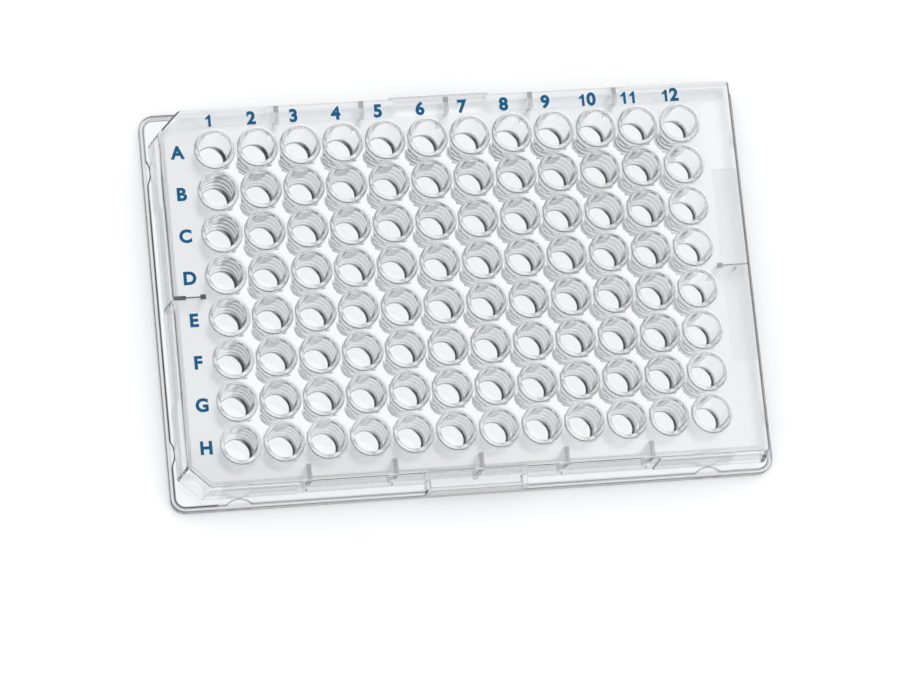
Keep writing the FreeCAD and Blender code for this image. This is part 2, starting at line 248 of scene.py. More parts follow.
def skirtRings():
    # every ring from the edge of the deck's top, down outside, round the lip and up inside to the deck
    footprint = (halfLength, halfWidth, 0, flange["round"], 0)
    top, step = flange["height"], skirt["panelStep"]
    rings = []
    edge = skirt["deckEdge"]
    for inset, z in arcPoints((edge, deckTop - edge), edge, 90, 180, 4):
        rings.append(outlineRing(wallShape(deckTop), inset, z))
    above, below = panelTop + flange["slope"], panelTop - flange["slope"]
    rings.append(outlineRing(wallShape(above), 0, above))
    rings.append(outlineRing(wallShape(below), 0, below, panel=step))

    fillet = skirt["footFillet"]
    for out, z in arcPoints((fillet, top + fillet), fillet, 180, 270, 3):
        rings.append(outlineRing(wallShape(top), -out, z, lift=gripLift, panel=step))

    edge = flange["edge"]
    for back, z in arcPoints((edge, top - edge), edge, 90, 180, 3):
        rings.append(outlineRing(footprint, back, z, lift=gripLift))
    foot = flange["footEdge"]
    for back, z in arcPoints((foot, foot), foot, 180, 270, 2):
        rings.append(outlineRing(footprint, back, z))

    gripInside = flange["gripLength"] / 2 - flange["lip"]
    for back, z in arcPoints((flange["lip"] - foot, foot), foot, 270, 360, 2):
        rings.append(outlineRing(footprint, back, z, gripHalf=gripInside))
    inner = skirt["innerFillet"]
    for back, z in arcPoints((flange["lip"] + inner, shelfUnder - inner), inner, 180, 90, 3):
        rings.append(outlineRing(footprint, back, z, gripHalf=gripInside, lift=gripLift))

    for back, z in arcPoints((skirt["wall"] - inner, shelfUnder + inner), inner, 270, 360, 3):
        rings.append(outlineRing(wallShape(top), back, z, gripHalf=gripInside, lift=gripLift))
    for back, z in arcPoints((skirt["wall"] + inner, deckUnder - inner), inner, 180, 90, 3):
        rings.append(outlineRing(wallShape(deckTop), back, z))
    return rings


labelField = {
    "length": 41.6,
    "width": 5.2,
    "depth": 0.1,
    "edge": 0.2,
}

labelFloor = deckTop - labelField["depth"]


def rectanglePoints(lowX, highX, lowY, highY):
    return [(lowX, lowY), (highX, lowY), (highX, highY), (lowX, highY)]


def fieldBorder():
    # the corners of the tiles along the edge of the grid of wells, anticlockwise
    pitch, columns, rows = wells["pitch"], wells["columns"], wells["rows"]
    points = [(-fieldX + pitch * k, -fieldY) for k in range(columns)]
    points += [(fieldX, -fieldY + pitch * k) for k in range(rows)]
    points += [(fieldX - pitch * k, fieldY) for k in range(columns)]
    points += [(-fieldX, fieldY - pitch * k) for k in range(rows)]
    return points


def vertsAt(bm, points, z):
    return [bm.verts.new((mm * x, mm * y, mm * z)) for x, y in points]


def fillBetween(bm, loops):
    # flat faces between an outer loop and the holes in it
    flat = [vert for loop in loops for vert in loop]
    spots = [[Vector((vert.co.x / mm, vert.co.y / mm, 0)) for vert in loop] for loop in loops]
    for triangle in geometry.tessellate_polygon(spots):
        bm.faces.new([flat[k] for k in triangle])


def joinRings(bm, rings):
    for ring, following in zip(rings, rings[1:]):
        count = len(ring)
        for k in range(count):
            after = (k + 1) % count
            bm.faces.new((ring[k], ring[after], following[after], following[k]))


def marginMesh():
    bm = bmesh.new()
    rings = [[bm.verts.new((mm * x, mm * y, mm * z)) for x, y, z in ring] for ring in skirtRings()]
    joinRings(bm, rings)
    upper = vertsAt(bm, fieldBorder(), deckTop)
    lower = vertsAt(bm, fieldBorder(), deckUnder)
    joinRings(bm, [upper, lower])

    highX = wallShape(deckTop)[0] - skirt["deckEdge"] - labelField["edge"]
    lowX = highX - labelField["width"]
    reach = labelField["length"] / 2
    sunk = labelField["depth"] / 2
    rim = vertsAt(bm, rectanglePoints(lowX, highX, -reach, reach), deckTop)
    base = rectanglePoints(lowX + sunk, highX - sunk, -reach + sunk, reach - sunk)
    base = vertsAt(bm, base, labelFloor)
    joinRings(bm, [rim, base])
    bm.faces.new(base)

    fillBetween(bm, [rings[0], upper, rim])
    fillBetween(bm, [rings[-1], lower])
    bmesh.ops.recalc_face_normals(bm, faces=bm.faces)
    mesh = bpy.data.meshes.new("margin")
    bm.to_mesh(mesh)
    bm.free()
    return mesh


ribs = {
    "sideThickness": 1.0,
    "sideGap": 5.1,
    "endThickness": 0.45,
    "endPost": 0.6,
    "endPostGap": 5.2,
    "rootThickness": 1.0,
    "rootGap": 8.7,
    "edge": 0.1,
}

lugs = {
    "length": 5.2,
    "depth": 1.1,
    "endInset": 12.5,
    "sideInset": 14.2,
    "clear": 0.08,
    "steps": 12,
}


def prism(bm, points, thickness, place, edge=0.0):
    # an outline in the plane of the first two axes, given thickness both ways, and put in place by a matrix
    made = bmesh.new()
    sides = []
    for offset in (-thickness / 2, thickness / 2):
        sides.append([made.verts.new(place @ Vector((x, y, offset)) * mm) for x, y in points])
    joinRings(made, sides)
    made.faces.new(sides[0])
    made.faces.new(sides[1])
    bmesh.ops.recalc_face_normals(made, faces=made.faces)
    if edge:
        sharp = list(made.edges)
        bmesh.ops.bevel(made, geom=sharp, offset=edge * mm, segments=2, profile=0.5, affect="EDGES")
    mesh = bpy.data.meshes.new("prism")
    made.to_mesh(mesh)
    made.free()
    bm.from_mesh(mesh)
    bpy.data.meshes.remove(mesh)


def ribSection(freeEnd, footWall, headWall):
    middle = skirt["wall"] / 2
    headZ = deckUnder + wells["deckThickness"] / 2
    return [
        (freeEnd, flange["height"]), (footWall - middle, flange["height"]),
        (headWall - middle, headZ), (freeEnd, headZ),
    ]


def mapping(alongX, alongY, alongZ):
    # a matrix whose columns are where the section's own axes go
    return Matrix((alongX, alongY, alongZ)).transposed()


def addRibs(bm):
    foot, head = wallShape(flange["height"]), wallShape(deckTop)
    section = ribSection(outerRow + ribs["sideGap"], foot[1], head[1])
    for number in range(wells["columns"] // 2 - 1):
        x = (number * 2 + 1.5) * wells["pitch"] - outerColumn
        for side in (-1, 1):
            turn = mapping((0, side, 0), (0, 0, 1), (1, 0, 0)).to_4x4()
            prism(bm, section, ribs["sideThickness"], Matrix.Translation((x, 0, 0)) @ turn, ribs["edge"])
    for side in (-1, 1):
        turn = mapping((side, 0, 0), (0, 0, 1), (0, 1, 0)).to_4x4()
        for gap, thickness in (("endPostGap", "endThickness"), ("rootGap", "rootThickness")):
            section = ribSection(outerColumn + ribs[gap], foot[0], head[0])
            prism(bm, section, ribs[thickness], turn, ribs["edge"])
        post = arcPoints((0, 0), ribs["endPost"], 0, 330, 11)
        height = deckUnder + wells["deckThickness"] / 2 - flange["height"]
        postX = side * (outerColumn + ribs["endPostGap"])
        prism(bm, post, height, Matrix.Translation((postX, 0, flange["height"] + height / 2)))


def addLugs(bm):
    half, depth, steps = lugs["length"] / 2, lugs["depth"], lugs["steps"]
    radius = (half * half + depth * depth) / (2 * depth)
    sweep = math.degrees(math.asin(half / radius))
    crown = arcPoints((0, radius - depth), radius, 270 - sweep, 270 + sweep, steps)
    section = crown + [(half, flange["lip"] / 2), (-half, flange["lip"] / 2)]
    height = shelfUnder + flange["shelf"] / 2 - lugs["clear"]
    middleZ = lugs["clear"] + height / 2
    for side in (-1, 1):
        for end in (-1, 1):
            places = (
                (halfLength - lugs["sideInset"], halfWidth - flange["lip"], 90 - 90 * side),
                (halfLength - flange["lip"], halfWidth - lugs["endInset"], -90 * end),
            )
            for x, y, turn in places:
                turned = Matrix.Rotation(math.radians(turn), 4, "Z")
                prism(bm, section, height, Matrix.Translation((end * x, side * y, middleZ)) @ turned)


def united(mesh, extras):
    # the solid of one mesh with those of several bmeshes added one after another
    body = bpy.data.objects.new("united", mesh)
    bpy.context.scene.collection.objects.link(body)
    tools = []
    for number, extra in enumerate(extras):
        toolMesh = bpy.data.meshes.new(f"tool{number}")
        extra.to_mesh(toolMesh)
        extra.free()
        tool = bpy.data.objects.new(f"tool{number}", toolMesh)
        bpy.context.scene.collection.objects.link(tool)
        tools.append(tool)
        join = body.modifiers.new(f"join{number}", "BOOLEAN")
        join.operation = "UNION"
        join.solver = "EXACT"
        join.use_self = True
        join.object = tool
    graph = bpy.context.evaluated_depsgraph_get()
    result = bpy.data.meshes.new_from_object(body.evaluated_get(graph))
    for thing in [body] + tools:
        bpy.data.objects.remove(thing)
    return result


# how close counts as touching and as one vertex, in mm, and how nearly a face looks along an axis
seam = {
    "touching": 0.01,
    "merge": 0.002,
    "square": 0.9,
}


def isFieldSide(face):
    # the upright faces where the margin meets the grid of wells
    centre = face.calc_center_median() / mm
    if centre.z <= deckUnder:
        return False
    sides = (
        (centre.x, face.normal.x, fieldX, centre.y, fieldY),
        (centre.y, face.normal.y, fieldY, centre.x, fieldX),
    )
    for across, normal, edge, along, end in sides:
        touching = abs(abs(across) - edge) < seam["touching"]
        if touching and abs(normal) > seam["square"] and abs(along) < end:
            return True
    return False


def buildPlate():
    ribMesh, lugMesh = bmesh.new(), bmesh.new()
    addRibs(ribMesh)
    addLugs(lugMesh)
    margin = united(marginMesh(), [ribMesh, lugMesh])
    print("margin has", len(margin.polygons), "faces")

    bm = bmesh.new()
    bm.from_mesh(margin)
    bmesh.ops.delete(bm, geom=[face for face in bm.faces if isFieldSide(face)], context="FACES")
    for face in bm.faces:
        face.material_index = 1  # the frame, while the wells keep the first material
    addSheet(bm, upperProfile(), deckTop)
    addSheet(bm, lowerProfile(), deckUnder)
    bmesh.ops.remove_doubles(bm, verts=bm.verts, dist=seam["merge"] * mm)
    bmesh.ops.recalc_face_normals(bm, faces=bm.faces)
    openEdges = sum(1 for edge in bm.edges if len(edge.link_faces) != 2)
    triangles = sum(len(face.verts) - 2 for face in bm.faces)
    print("plate has", triangles, "triangles and", openEdges, "open edges")
    mesh = bpy.data.meshes.new("plate")
    bm.to_mesh(mesh)
    bm.free()
    mesh.shade_smooth()
    mesh.set_sharp_from_angle(angle=math.radians(wells["sharp"]))
    plate = bpy.data.objects.new("plate", mesh)
    bpy.context.scene.collection.objects.link(plate)
    even = plate.modifiers.new("evenNormals", "WEIGHTED_NORMAL")
    even.keep_sharp = True
    return plate


index = {
    "capHeight": 2.6,
    "capShare": 0.69,  # of the size of the type
    "thickness": 0.02,
    "clear": 0.01,
    "bolder": 0.16,
    "letterX": -57.4,
    "letterDrift": 0.09,
    "letterDrop": 0.55,
    "numberY": 37.6,
    "advance": 1.9,
    "one": (
        (-0.05, -0.5), (0.17, -0.5), (0.17, 0.5), (0.0, 0.5),
        (-0.1, 0.36), (-0.25, 0.26), (-0.25, 0.08), (-0.05, 0.17),
    ),
    "firstNumberX": -50.3,
    "numberPitch": 8.93,
    "colour": (0.005, 0.095, 0.21),
    "variation": 0.15,
    "grainScale": 2500,
    "roughness": 0.5,
    "specular": 0.1,
}


def addCharacter(bm, character, x, y):
    # one printed character centred on a place, the figure one drawn here with its flag
    height = deckTop + index["thickness"] / 2 + index["clear"]
    place = Matrix.Translation((x, y, height))
    if character == "1":
        cap = index["capHeight"]
        prism(bm, [(u * cap, v * cap) for u, v in index["one"]], index["thickness"], place)
        return
    curve = bpy.data.curves.new("character", "FONT")
    curve.body = character
    curve.align_x = "CENTER"
    curve.align_y = "CENTER"
    curve.size = index["capHeight"] / index["capShare"] * mm
    curve.offset = index["bolder"] * mm
    curve.extrude = index["thickness"] * mm / 2
    curve.resolution_u = 6
    letter = bpy.data.objects.new("character", curve)
    bpy.context.scene.collection.objects.link(letter)
    graph = bpy.context.evaluated_depsgraph_get()
    mesh = bpy.data.meshes.new_from_object(letter.evaluated_get(graph))
    bpy.data.objects.remove(letter)
    mesh.transform(Matrix.Translation((x * mm, y * mm, height * mm)))
    bm.from_mesh(mesh)
    bpy.data.meshes.remove(mesh)


def buildIndex():
    bm = bmesh.new()
    for row in range(wells["rows"]):
        y = outerRow - row * wells["pitch"] - index["letterDrop"]
        addCharacter(bm, chr(ord("A") + row), index["letterX"] + row * index["letterDrift"], y)
    for column in range(wells["columns"]):
        x = index["firstNumberX"] + column * index["numberPitch"]
        figures = str(column + 1)
        for place, figure in enumerate(figures):
            shift = (place - (len(figures) - 1) / 2) * index["advance"]
            addCharacter(bm, figure, x + shift, index["numberY"])
    mesh = bpy.data.meshes.new("indexPrint")
    bm.to_mesh(mesh)
    bm.free()
    printed = bpy.data.objects.new("indexPrint", mesh)
    bpy.context.scene.collection.objects.link(printed)
    print("index has", wells["rows"] + wells["columns"], "marks")
    return printed


plastic = {
    "tint": (0.953, 0.976, 0.998),
    "ior": 1.52,
    "polished": 0.015,
    "hazy": 0.3,
    "field": 0.42,
    "rim": 0.24,
    "hazeStart": 0.2,
    "grain": 0.02,
    "grainScale": 0.9,
    "grainDetail": 3,
    "shadow": (0.86, 0.87, 0.88),
}

# how softly tones begin and end, in mm, and how steep a face counts as upright
masks = {
    "soft": 0.05,
    "wide": 0.2,
    "face": 0.03,
    "faceSoft": 0.005,
    "flat": 0.6,
    "upright": 0.3,
}

# painted shade: the dark and pale edges that light makes inside the cups, painted as tones of the plastic
# on their surfaces. Sides are directions from the axis of a well, and tones multiply the tint.
edges = {
    "ringInner": 2.78,
    "ringBroad": 2.7,
    "ringThin": 3.1,
    "ringTone": 0.002,
    "ringPale": 0.4,
    "darkSide": (0.995, 0.1),
    "darkFrom": -0.1,
    "darkFull": 0.85,
    "backSide": (0.5, 0.87),
    "bandHeight": 1.1,
    "bandThin": 0.2,
    "bandTone": 0.001,
    "bandPale": 0.6,
    "lineLift": 0.1,
    "lineHalf": 0.12,
    "lineSoft": 0.1,
    "lineTone": 0.4,
    "cupTone": 0.65,
    "frontTone": 0.8,
    "firstTone": 0.5,
    "ghostStep": 2.6,
    "ghostFirst": 5.2,
    "ghostHeight": 1.2,
    "ghostSoft": 0.25,
    "ghostFade": 2.5,
    "ghostTone": 0.003,
    "ghostShare": 0.4,
    "frontShare": 0.82,
    "firstRowShare": 0.96,
    "arcHeight": 0.95,
    "arcStart": 1.0,
    "arcEnd": 0.5,
    "arcTone": 0.006,
    "arcPale": 0.7,
    "arcFade": (-70.0, 30.0),
    "fade": (45.0, -50.0),
}

# half widths of the dark lines of painted shade on the frame, how far inside the deck's outline the middle
# of the cut corner's line lies, and where along Y the lines of the near end fade
lines = {
    "endRib": 0.12,
    "post": 0.4,
    "root": 0.3,
    "outer": 0.15,
    "lip": 0.1,
    "lug": 0.12,
    "cut": 0.25,
    "cutInset": 0.27,
    "nearFade": (37.5, 19.5),
}

# painted shade: tones that grey and darken the frame's surfaces and lines, and the deck and rims; the label
# field's tone is its own
shades = {
    "deck": 0.8,
    "nearDeck": 0.7,
    "frontDeck": 0.6,
    "deckFade": 3.0,
    "cornerFade": 2.0,
    "frontFade": (45.0, -25.0),
    "farDeck": 0.92,
    "backDeck": 1.0,
    "field": 0.88,
    "label": 0.8,
    "rims": 0.92,
    "floor": 0.88,
    "longWall": 0.8,
    "endWall": 1.0,
    "farEdge": 0.06,
    "rib": 0.5,
    "backRib": 0.6,
    "ribEnd": 0.35,
    "post": 0.01,
    "farPost": 0.2,
    "flangeTop": 0.85,
    "flangeBrim": 0.55,
    "grip": 0.7,
    "gripFace": 0.45,
    "outerEdge": 0.12,
    "nearOuterEdge": 0.05,
    "lipLine": 0.55,
    "nearLipLine": 0.01,
    "lug": 0.25,
    "cutEdge": 0.003,
}


def newMaterial(name):
    material = bpy.data.materials.new(name)
    material.use_nodes = True
    tree = material.node_tree
    shader = next(node for node in tree.nodes if node.type == "BSDF_PRINCIPLED")
    output = next(node for node in tree.nodes if node.type == "OUTPUT_MATERIAL")
    return material, tree, shader, output


def mathNode(tree, operation, *values):
    node = tree.nodes.new("ShaderNodeMath")
    node.operation = operation
    for socket, value in zip(node.inputs, values):
        if isinstance(value, (int, float)):
            socket.default_value = value
        else:
            tree.links.new(value, socket)
    return node.outputs[0]


def product(tree, first, *others):
    for other in others:
        first = mathNode(tree, "MULTIPLY", first, other)
    return first


def distance(tree, u, v):
    return mathNode(tree, "SQRT", mathNode(tree, "ADD", product(tree, u, u), product(tree, v, v)))


def slope(tree, value, start, end):
    # from 0 at the start to 1 at the end, levelling off smoothly at both
    node = tree.nodes.new("ShaderNodeMapRange")
    node.interpolation_type = "SMOOTHSTEP"
    node.inputs["From Min"].default_value = start
    node.inputs["From Max"].default_value = end
    tree.links.new(value, node.inputs["Value"])
    return node.outputs["Result"]


def near(tree, value, middle, reach, soft=masks["soft"]):
    # 1 within reach of the middle, 0 beyond
    away = mathNode(tree, "ABSOLUTE", mathNode(tree, "SUBTRACT", value, middle))
    return slope(tree, away, reach + soft, reach)


def level(tree, z, height):
    # 1 on the flat face at a height
    return near(tree, z, height, masks["face"], masks["faceSoft"])


def blend(tree, share, first, second):
    node = tree.nodes.new("ShaderNodeMix")
    for name, value in (("Factor", share), ("A", first), ("B", second)):
        socket = node.inputs[name]
        if isinstance(value, (int, float)):
            socket.default_value = value
        else:
            tree.links.new(value, socket)
    return node.outputs["Result"]


def cellOffset(tree, value):
    # how far from the nearest well's axis
    half = wells["pitch"] / 2
    return mathNode(tree, "WRAP", mathNode(tree, "SUBTRACT", value, half), half, -half)


def towards(tree, u, v, direction):
    return mathNode(tree, "ADD", product(tree, u, direction[0]), product(tree, v, direction[1]))


def onRims(tree, z):
    # 1 on the rims, which stand above the deck
    return slope(tree, z, deckTop + masks["soft"] / 2, deckTop + 2 * masks["soft"])


def wellPaintedShade(tree, x, y, z, inside):
    # painted shade: one tone for every surface of the wells and the deck round them, multiplied into the
    # tint
    floorZ = rimTop - wells["depth"]
    footZ = floorZ - wells["cupFloor"]
    u, v = cellOffset(tree, x), cellOffset(tree, y)
    radius = distance(tree, u, v)
    dark = mathNode(tree, "DIVIDE", towards(tree, u, v, edges["darkSide"]), radius)
    darkSide = slope(tree, dark, edges["darkFrom"], edges["darkFull"])
    fading = slope(tree, x, *edges["fade"])
    firstColumn = slope(tree, x, wells["pitch"] * 1.5 - outerColumn, -outerColumn)
    secondRowTop = fieldY - wells["pitch"]
    firstRow = slope(tree, y, secondRowTop - masks["wide"], secondRowTop + masks["wide"])
    outermost = mathNode(tree, "MAXIMUM", firstColumn, firstRow)
    darkSide = product(tree, darkSide, blend(tree, outermost, darkSide, 1.0))

    # a painted shadow as a crescent round the floor, and a painted shade band with a paler line above it at
    # the foot of the wall
    ringTone = blend(tree, darkSide, edges["ringPale"], edges["ringTone"])
    ringInner = blend(tree, outermost, edges["ringInner"], edges["ringBroad"])
    outwards = mathNode(tree, "SUBTRACT", radius, blend(tree, darkSide, edges["ringThin"], ringInner))
    soft = masks["soft"]
    ring = product(tree, near(tree, z, floorZ, 2 * soft), slope(tree, outwards, -soft, soft))
    onFloor = near(tree, z, floorZ, soft)
    tone = product(tree, blend(tree, onFloor, 1.0, shades["floor"]), blend(tree, ring, 1.0, ringTone))

    skin = (wells["mouthRadius"] + wells["bottomRadius"] + wells["cupWall"]) / 2
    inner = slope(tree, radius, skin, skin - soft)
    above = mathNode(tree, "SUBTRACT", z, floorZ + 2 * soft)
    bandTop = blend(tree, darkSide, edges["bandThin"], edges["bandHeight"])
    over = mathNode(tree, "SUBTRACT", above, bandTop)
    bandTone = blend(tree, product(tree, darkSide, fading, outermost), edges["bandPale"], edges["bandTone"])
    band = product(tree, inner, slope(tree, above, -soft, 0.0), slope(tree, over, soft, -soft))
    tone = product(tree, tone, blend(tree, band, 1.0, bandTone))
    line = near(tree, over, edges["lineLift"], edges["lineHalf"], edges["lineSoft"])
    line = product(tree, inner, line)
    tone = product(tree, tone, blend(tree, line, 1.0, edges["lineTone"]))

    # painted shade: the outside of the cups greyer, with painted dark refraction bands up the wall
    outside = product(tree, inside, slope(tree, radius, skin, skin + soft))
    outside = product(tree, outside, slope(tree, z, deckUnder - soft, deckUnder - 2 * soft))
    outside = product(tree, outside, slope(tree, z, footZ + soft, footZ + 2 * soft))
    facing = slope(tree, towards(tree, u, v, edges["backSide"]), 0.0, 1.0)
    backTone = blend(tree, firstColumn, edges["cupTone"], edges["firstTone"])
    cupTone = blend(tree, facing, edges["frontTone"], backTone)
    tone = product(tree, tone, blend(tree, outside, 1.0, cupTone))
    step = edges["ghostStep"]
    phase = mathNode(tree, "WRAP", mathNode(tree, "SUBTRACT", z, edges["ghostFirst"]), step / 2, -step / 2)
    ghost = near(tree, phase, 0.0, edges["ghostHeight"] / 2, edges["ghostSoft"])
    frontShare = blend(tree, firstRow, edges["frontShare"], edges["firstRowShare"])
    strength = blend(tree, facing, frontShare, edges["ghostShare"])
    belowDeck = slope(tree, z, deckUnder, deckUnder - edges["ghostFade"])
    ghosts = product(tree, outside, ghost, strength, belowDeck)
    tone = product(tree, tone, blend(tree, ghosts, 1.0, edges["ghostTone"]))

    # in the first column the painted dark bands are sharper, on the inside of the wall
    phase = mathNode(tree, "WRAP", mathNode(tree, "SUBTRACT", z, floorZ), step / 2, -step / 2)
    arc = near(tree, phase, 0.0, edges["arcHeight"] / 2, masks["wide"])
    arcs = product(tree, inner, facing, firstColumn, arc)
    arcs = product(tree, arcs, slope(tree, above, edges["arcStart"], edges["arcStart"] + masks["wide"]))
    arcs = product(tree, arcs, slope(tree, z, deckUnder, deckUnder - edges["arcEnd"]))
    arcs = product(tree, arcs, slope(tree, y, secondRowTop, secondRowTop - masks["wide"]))
    arcs = product(tree, arcs, slope(tree, y, *edges["arcFade"]))
    arcs = product(tree, arcs, blend(tree, darkSide, edges["arcPale"], 1.0))
    tone = product(tree, tone, blend(tree, arcs, 1.0, edges["arcTone"]))

    onTop = blend(tree, inside, deckPaintedShade(tree, x, y), shades["field"])
    tone = product(tree, tone, blend(tree, level(tree, z, deckTop), 1.0, onTop))
    return product(tree, tone, blend(tree, onRims(tree, z), 1.0, shades["rims"]))


def deckPaintedShade(tree, x, y):
    # painted shade and light: the hazy deck is painted a little greyer by the first column and along the
    # front, and paler at the far back corner
    fade = shades["deckFade"]
    nearEnd = slope(tree, x, fade - outerColumn, -fade - outerColumn)
    front = slope(tree, y, fade - outerRow, -fade - outerRow)
    front = product(tree, front, slope(tree, x, *shades["frontFade"]))
    fade = shades["cornerFade"]
    farCorner = slope(tree, x, fieldX - fade, fieldX + fade)
    farCorner = product(tree, farCorner, slope(tree, y, 0, outerRow))
    tone = blend(tree, nearEnd, shades["deck"], shades["nearDeck"])
    tone = blend(tree, front, tone, shades["frontDeck"])
    return blend(tree, farCorner, tone, shades["farDeck"])


def beyondWells(tree, x, y):
    # how far outside the rectangle through the axes of the outer wells
    beyondX = mathNode(tree, "SUBTRACT", mathNode(tree, "ABSOLUTE", x), outerColumn)
    beyondY = mathNode(tree, "SUBTRACT", mathNode(tree, "ABSOLUTE", y), outerRow)
    return mathNode(tree, "MAXIMUM", beyondX, beyondY)


def edgeDistance(tree, x, y):
    # how far inside the footprint's rounded outline
    beyondX = mathNode(tree, "SUBTRACT", mathNode(tree, "ABSOLUTE", x), halfLength - flange["round"])
    beyondY = mathNode(tree, "SUBTRACT", mathNode(tree, "ABSOLUTE", y), halfWidth - flange["round"])
    outX, outY = mathNode(tree, "MAXIMUM", beyondX, 0.0), mathNode(tree, "MAXIMUM", beyondY, 0.0)
    corner = distance(tree, outX, outY)
    straight = mathNode(tree, "MINIMUM", mathNode(tree, "MAXIMUM", beyondX, beyondY), 0.0)
    return mathNode(tree, "SUBTRACT", flange["round"], mathNode(tree, "ADD", corner, straight))


def lugArcs(tree, across, along):
    # the curved edges of the lugs, as how far a place is from the middle of each arc, with the arc's radius
    places = (
        (halfLength - lugs["sideInset"], halfWidth, 0, 1, lugs["depth"]),
        (halfLength, halfWidth - lugs["endInset"], 1, 0, skirt["endShelf"] - flange["lip"]),
    )
    arcs = []
    for lugX, lugY, outX, outY, depth in places:
        radius = ((lugs["length"] / 2) ** 2 + depth ** 2) / (2 * depth)
        shift = radius - depth - flange["lip"]
        fromX = mathNode(tree, "SUBTRACT", across, lugX + outX * shift)
        fromY = mathNode(tree, "SUBTRACT", along, lugY + outY * shift)
        arcs.append((distance(tree, fromX, fromY), radius))
    return arcs


def frameTones(tree, x, y, z, upright):
    # painted shade: the greyer deck round the wells, the walls, and the dark lines of the ribs, flange, lip
    # and lugs; the label field keeps a tone of its own
    across, along = mathNode(tree, "ABSOLUTE", x), mathNode(tree, "ABSOLUTE", y)
    soft, wide = masks["soft"], masks["wide"]
    farSide = slope(tree, x, fieldX, fieldX + wide)
    nearSide = slope(tree, x, -fieldX, -fieldX - wide)
    ribStart = outerRow + ribs["sideGap"]
    back = slope(tree, y, ribStart - 3 * wide, ribStart)
    onDeck = level(tree, z, deckTop)
    parts = []

    def shade(where, tone):
        parts.append(blend(tree, where, 1.0, tone))

    shade(onDeck, blend(tree, back, deckPaintedShade(tree, x, y), shades["backDeck"]))
    shade(product(tree, level(tree, z, labelFloor), farSide), shades["label"])

    # painted shade: the walls greyer and a dark line along the far edge of the deck
    outwards = beyondWells(tree, x, y)
    beyond = slope(tree, outwards, ribs["sideGap"] - 6 * soft, ribs["sideGap"] - 4 * soft)
    wallMiddle = (deckUnder + flange["height"]) / 2
    wallReach = (deckTop - flange["height"]) / 2
    wall = product(tree, beyond, upright, near(tree, z, wallMiddle, wallReach, wide))
    longWall = blend(tree, back, shades["longWall"], 1.0)
    atEnd = mathNode(tree, "MAXIMUM", nearSide, farSide)
    shade(wall, blend(tree, atEnd, longWall, shades["endWall"]))
    deckX, deckY, cut = wallShape(deckTop)[:3]
    atTop = slope(tree, z, deckTop - 2 * skirt["deckEdge"], deckTop - skirt["deckEdge"])
    farEdge = slope(tree, x, deckX - 10 * soft, deckX - 8 * soft)
    shade(product(tree, atTop, farSide, farEdge), shades["farEdge"])

    # painted shade of the ribs and posts, seen through the deck that they hold
    pairPitch = 2 * wells["pitch"]
    fromRib = mathNode(tree, "WRAP", x, pairPitch / 2, -pairPitch / 2)
    rib = near(tree, fromRib, 0.0, ribs["sideThickness"] / 2)
    rib = product(tree, rib, slope(tree, across, fieldX - 5 * wide, fieldX - 6 * wide))
    rib = product(tree, rib, slope(tree, along, ribStart - 2 * soft, ribStart))
    shade(product(tree, rib, onDeck), blend(tree, back, shades["rib"], shades["backRib"]))
    ribEnd = slope(tree, y, deckY - 4 * skirt["deckEdge"], deckY - 3 * skirt["deckEdge"])
    shade(product(tree, rib, ribEnd, atTop), shades["ribEnd"])
    postX, rootX = outerColumn + ribs["endPostGap"], outerColumn + ribs["rootGap"]
    postEdge = ribs["endPost"]
    knob = slope(tree, across, postX + postEdge, postX + postEdge - 2 * soft)
    root = product(tree, slope(tree, across, rootX, rootX + 2 * soft), nearSide)
    half = mathNode(tree, "ADD", product(tree, knob, lines["post"]), lines["endRib"])
    half = mathNode(tree, "ADD", half, product(tree, root, lines["root"]))
    post = slope(tree, mathNode(tree, "SUBTRACT", along, half), soft, 0.0)
    post = product(tree, post, slope(tree, across, postX - postEdge - 2 * soft, postX - postEdge))
    post = product(tree, post, slope(tree, z, deckTop - 3 * soft, deckTop - 2 * soft))
    shade(post, blend(tree, farSide, shades["post"], shades["farPost"]))

    # painted shade on the flange's top, its outer edge, and the line of the lip below it
    inset = edgeDistance(tree, x, y)
    nearLines = product(tree, nearSide, slope(tree, y, *lines["nearFade"]))
    onFlange = near(tree, z, flange["height"], soft)
    onBrim = slope(tree, inset, flange["lip"] + 12 * soft, flange["lip"] - 4 * soft)
    shade(onFlange, blend(tree, onBrim, shades["flangeTop"], shades["flangeBrim"]))
    shade(product(tree, beyond, near(tree, z, flange["gripHeight"], soft)), shades["grip"])
    atEdge = near(tree, inset, 0.0, lines["outer"])
    gripFace = product(tree, atEdge, slope(tree, z, flange["height"], flange["height"] + soft))
    shade(gripFace, shades["gripFace"])
    outer = product(tree, atEdge, slope(tree, z, flange["height"], flange["height"] - soft))
    shade(outer, blend(tree, nearLines, shades["outerEdge"], shades["nearOuterEdge"]))
    lipLine = product(tree, onFlange, near(tree, inset, flange["lip"], lines["lip"], wide))
    for apart, radius in lugArcs(tree, across, along):
        arc = near(tree, z, flange["height"] + 3 * soft, wide)
        arc = product(tree, arc, near(tree, apart, radius, lines["lug"]))
        arc = product(tree, arc, slope(tree, inset, flange["lip"] - 2 * soft, flange["lip"]))
        shade(arc, blend(tree, nearSide, shades["lug"], shades["nearLipLine"]))
        lipLine = product(tree, lipLine, slope(tree, apart, radius - 3 * soft, radius))
    shade(lipLine, blend(tree, nearLines, shades["lipLine"], shades["nearLipLine"]))

    # a painted dark line of shade on the edge of the deck along the cut corner by the first well
    middle = deckX + deckY - cut - lines["cutInset"]
    cutEdge = near(tree, mathNode(tree, "SUBTRACT", y, x), middle, lines["cut"])
    cutEdge = product(tree, cutEdge, atTop, slope(tree, x, 12 * soft - deckX, 18 * soft - deckX))
    shade(cutEdge, shades["cutEdge"])
    return product(tree, *parts)


